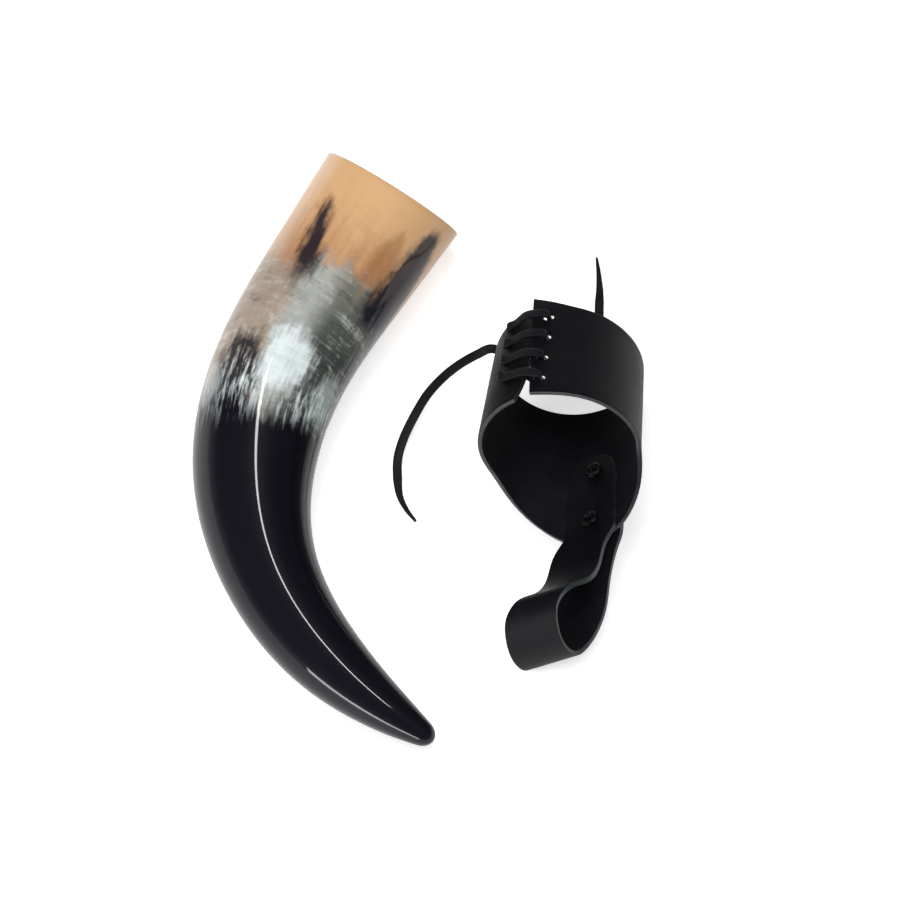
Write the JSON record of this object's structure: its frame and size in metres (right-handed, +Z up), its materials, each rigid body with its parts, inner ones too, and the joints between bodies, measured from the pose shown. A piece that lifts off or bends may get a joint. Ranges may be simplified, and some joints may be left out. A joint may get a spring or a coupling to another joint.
{
  "type": "drinking horn with belt holster",
  "caption": "Curved hollow drinking horn lying beside its leather belt holster, a laced tapered sleeve with a riveted belt loop; the horn lifts away.",
  "frame": {"origin": "on the table, under the middle of the box round the horn and the holster, with the free ends of the lace left out", "axes": "+Z up from the table, +Y away from the viewer of the picture along the set's longest side, +X to the viewer's right"},
  "size_m": [0.195, 0.2726, 0.0809],
  "materials": {
    "horn": "polished natural horn, tan at the mouth and blue-black towards the tip",
    "leather": "smooth black dyed leather with cut edges",
    "lace": "flat black leather thong",
    "rivet": "black lacquered tubular rivet"
  },
  "bodies": {
    "holster": {"sleeve": "leather", "belt_loop": "leather", "rivet_ring_upper": "rivet", "rivet_post_upper": "rivet", "rivet_ring_lower": "rivet", "rivet_post_lower": "rivet", "lace_crossing": "lace", "lace_tail_left": "lace", "lace_tail_right": "lace"},
    "drinking_horn": {"horn": "horn"}
  },
  "joints": [
    {"name": "horn_lift", "type": "slide", "parent": "holster", "child": "drinking_horn", "axis": [0, 0, 1], "range_m": [0, 0.12]}
  ]
}
